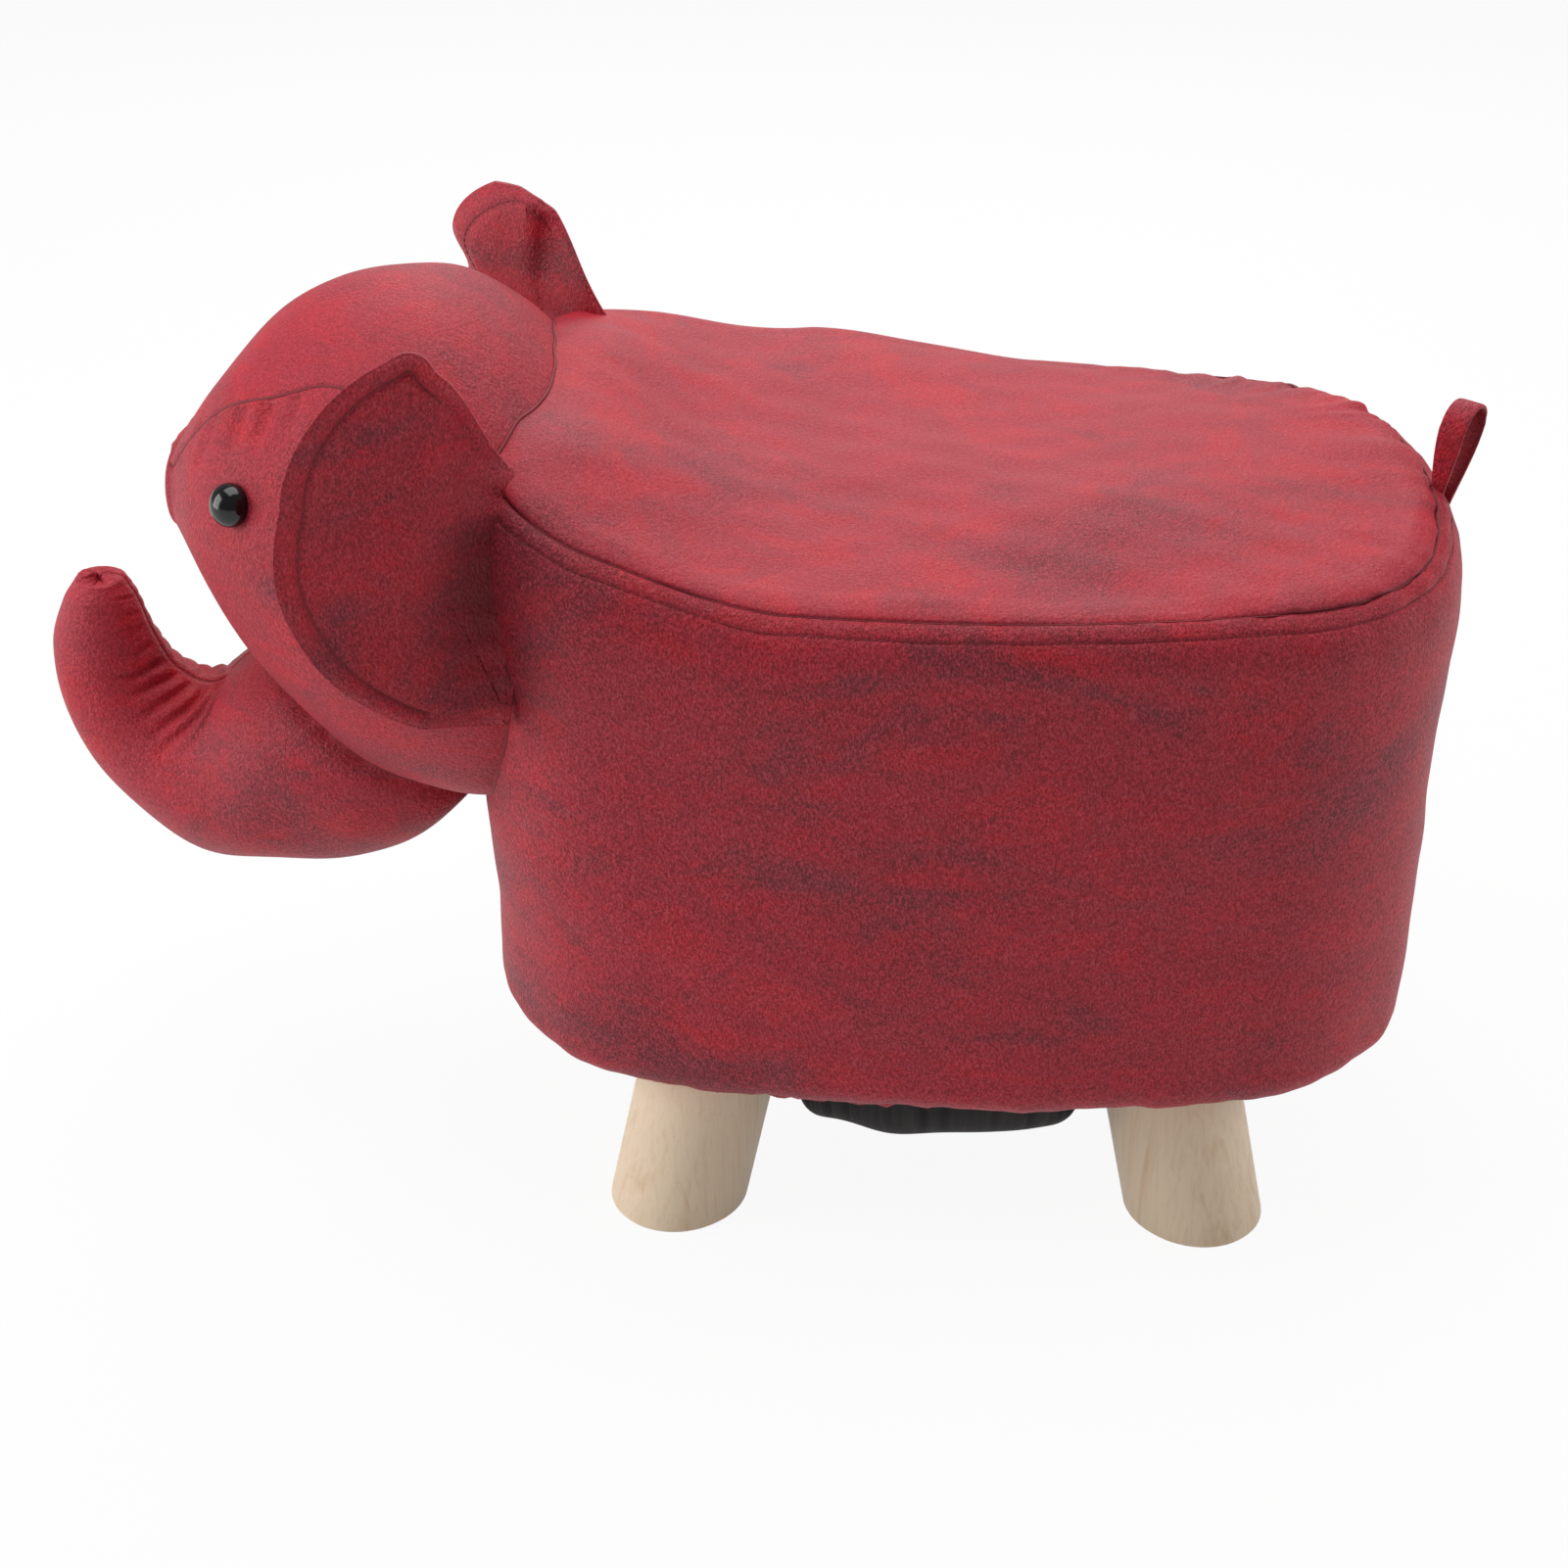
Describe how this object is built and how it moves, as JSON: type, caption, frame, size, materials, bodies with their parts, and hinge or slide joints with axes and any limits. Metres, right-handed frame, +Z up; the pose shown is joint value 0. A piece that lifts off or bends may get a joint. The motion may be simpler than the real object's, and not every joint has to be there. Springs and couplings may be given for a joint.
{
  "type": "footstool",
  "caption": "Elephant-shaped footstool: padded oblong seat on splayed wooden legs, with stuffed head, raised curled trunk, floppy ears and a tail loop.",
  "frame": {"origin": "on the floor under the middle of the whole object, trunk and tail included", "axes": "+X towards the tail, +Y towards the elephant's right side, +Z up"},
  "size_m": [0.6006, 0.3022, 0.3995],
  "materials": {
    "cover_red": "satin",
    "dust_black": "matte",
    "foam": "matte",
    "filling": "matte",
    "plywood": "matte",
    "hardboard": "matte",
    "pine": "matte",
    "zinc_steel": "satin",
    "eye_black": "gloss",
    "washer_white": "matte"
  },
  "bodies": {
    "stool": {"seat_panel": "cover_red", "side_panel": "cover_red", "hem": "cover_red", "side_foam": "foam", "seat_foam": "foam", "hoop_wall": "hardboard", "base_board": "plywood", "seat_board": "plywood", "post_front_left": "pine", "post_front_right": "pine", "post_rear_left": "pine", "post_rear_right": "pine", "base_board_screws": "zinc_steel", "seat_board_screws": "zinc_steel", "leg_front_left": "pine", "leg_front_right": "pine", "leg_rear_left": "pine", "leg_rear_right": "pine", "hanger_bolts": "zinc_steel", "tee_nuts": "zinc_steel", "dust_cover": "dust_black", "dust_cover_staples": "zinc_steel", "head_crown_panel": "cover_red", "head_side_panel_left": "cover_red", "head_side_panel_right": "cover_red", "head_filling": "filling", "trunk_panel_left": "cover_red", "trunk_panel_right": "cover_red", "trunk_filling": "filling", "eye_left": "eye_black", "eye_right": "eye_black", "eye_washer_left": "washer_white", "eye_washer_right": "washer_white"},
    "ear_left": {"ear_left_front_panel": "cover_red", "ear_left_wadding": "filling", "ear_left_back_panel": "cover_red"},
    "ear_right": {"ear_right_front_panel": "cover_red", "ear_right_wadding": "filling", "ear_right_back_panel": "cover_red"},
    "tail": {"tail_loop": "cover_red"}
  },
  "joints": [
    {"name": "ear_left_flap", "type": "hinge", "parent": "stool", "child": "ear_left", "pos_m": [-0.08317, -0.12, 0.301], "axis": [0.1363, 0.1849, 0.9733], "range_deg": [0, 45], "stiffness_Nm_per_rad": 0.05},
    {"name": "ear_right_flap", "type": "hinge", "parent": "stool", "child": "ear_right", "pos_m": [-0.08317, 0.12, 0.301], "axis": [-0.1363, 0.1849, -0.9733], "range_deg": [0, 45], "stiffness_Nm_per_rad": 0.05},
    {"name": "tail_flex", "type": "hinge", "parent": "stool", "child": "tail", "pos_m": [0.29211, 0, 0.295], "axis": [0, 1, 0], "range_deg": [-15, 60], "stiffness_Nm_per_rad": 0.01}
  ]
}
